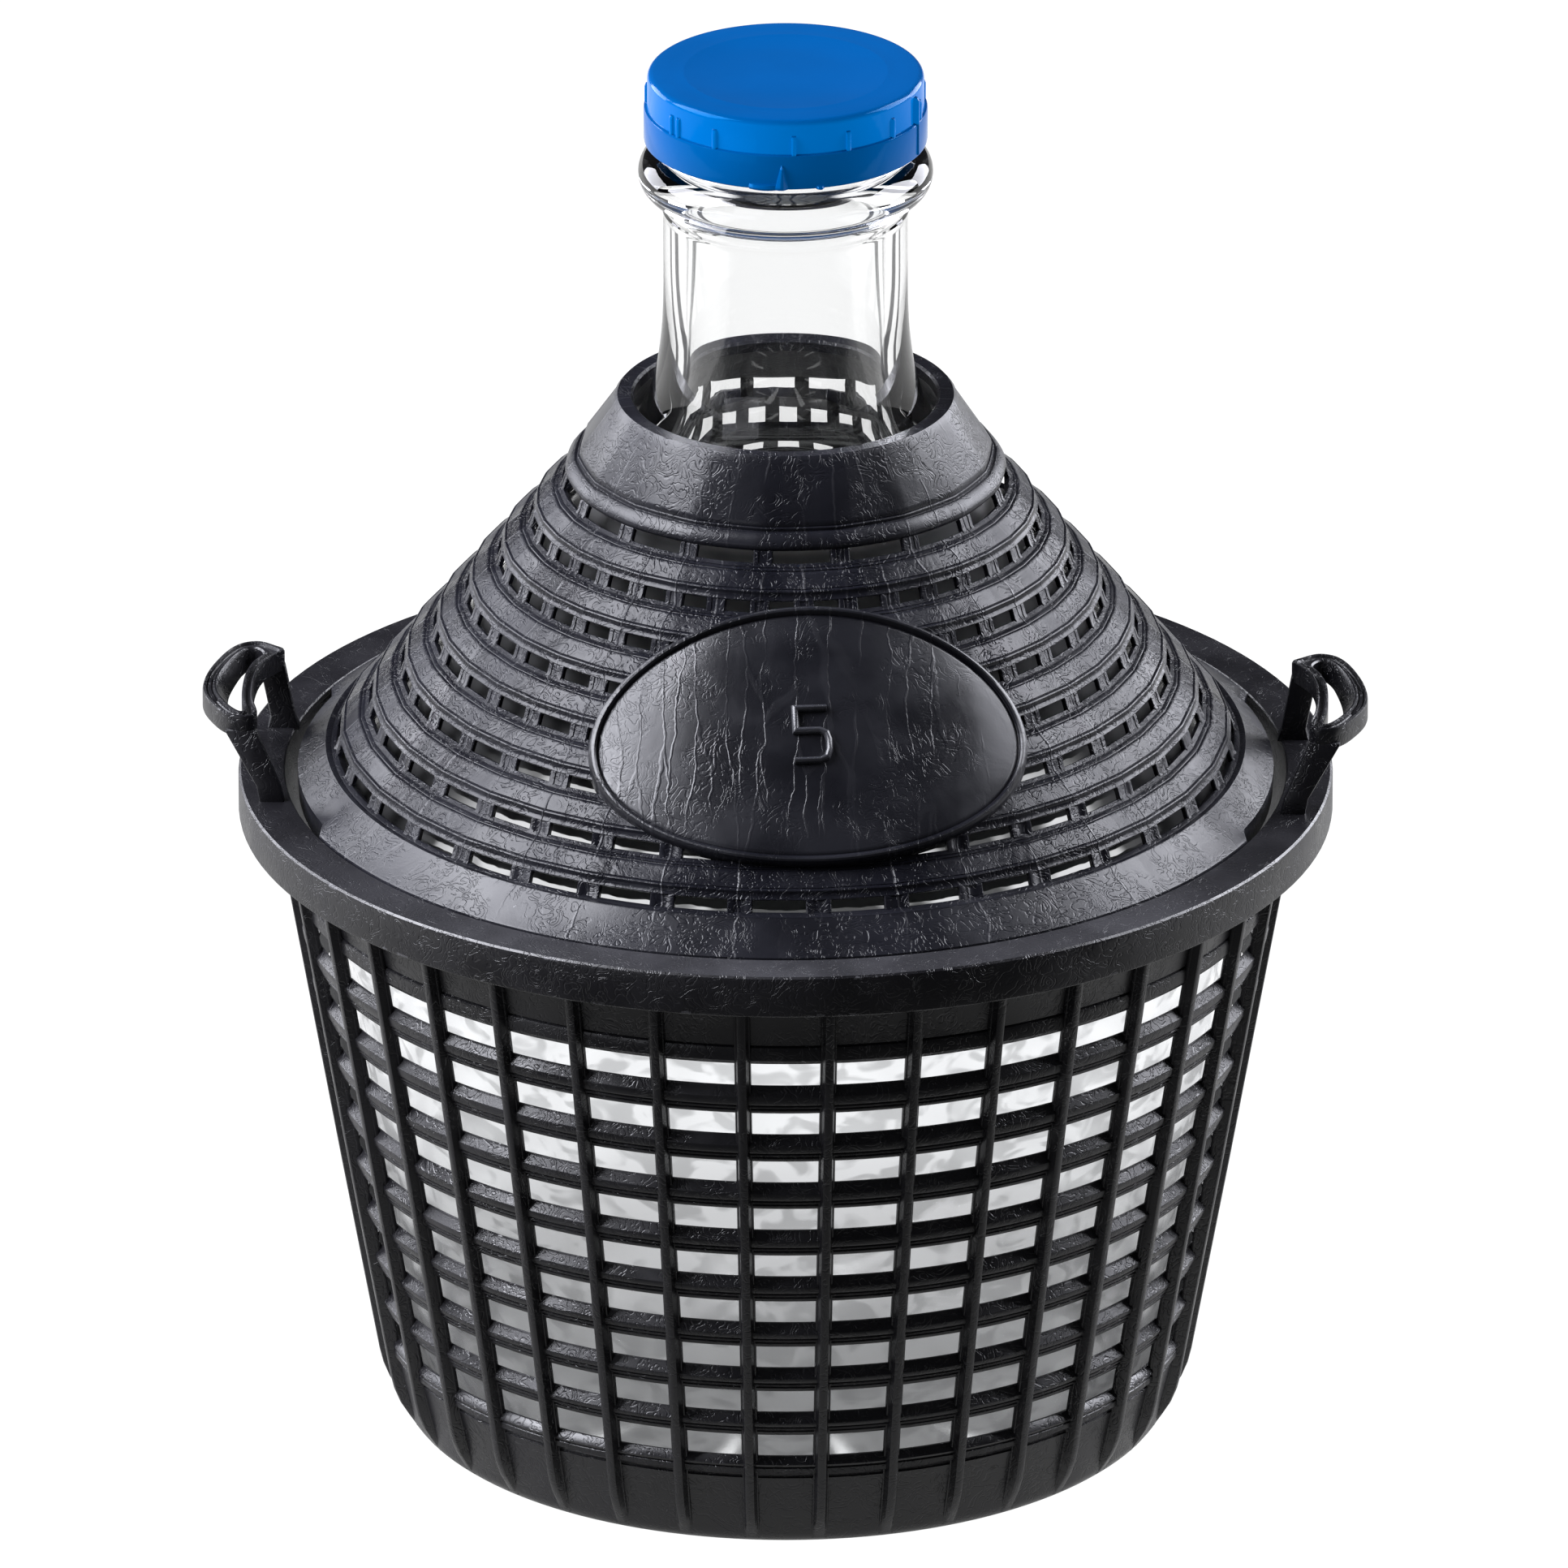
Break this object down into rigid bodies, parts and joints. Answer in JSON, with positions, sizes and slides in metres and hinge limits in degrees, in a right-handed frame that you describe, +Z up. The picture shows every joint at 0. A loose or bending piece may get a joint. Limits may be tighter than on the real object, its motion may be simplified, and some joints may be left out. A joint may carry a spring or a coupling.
{
  "type": "demijohn",
  "caption": "Wide-bodied glass bottle standing in a moulded lattice basket with two handles, under a slotted cone cover, closed by a screw cap.",
  "frame": {"origin": "on the ground, under the centre of the basket's foot", "axes": "+Z up along the bottle's axis; the handles lie along X; the oval plaque of the cover faces -Y"},
  "size_m": [0.2602, 0.244, 0.3192],
  "materials": {
    "basket_plastic": "moulded black plastic with a satin grain",
    "bottle_glass": "clear glossy glass",
    "cover_plastic": "moulded dark grey plastic, satin and lightly creased",
    "liner_foam": "soft pale foam",
    "cap_plastic": "glossy blue moulded plastic"
  },
  "bodies": {
    "basket": {"basket": "basket_plastic"},
    "bottle": {"glass_bottle": "bottle_glass"},
    "cover": {"cone_cover": "cover_plastic"},
    "liner": {"cap_liner": "liner_foam"},
    "cap": {"screw_cap": "cap_plastic"}
  },
  "joints": [
    {"name": "bottle_lift", "type": "slide", "parent": "basket", "child": "bottle", "axis": [0, 0, 1], "range_m": [0, 0.16]},
    {"name": "cover_lift", "type": "slide", "parent": "bottle", "child": "cover", "axis": [0, 0, 1], "range_m": [0, 0.18]},
    {"name": "cap_rise", "type": "slide", "parent": "bottle", "child": "liner", "axis": [0, 0, 1], "range_m": [0, 0.0135]},
    {"name": "cap_turn", "type": "hinge", "parent": "liner", "child": "cap", "pos_m": [0, 0, 0.311], "axis": [0, 0, 1], "range_deg": [0, 810]}
  ],
  "couplings": [
    {"joint": "cap_rise", "follows": "cap_turn", "m_per_rad": 0.00095493}
  ]
}
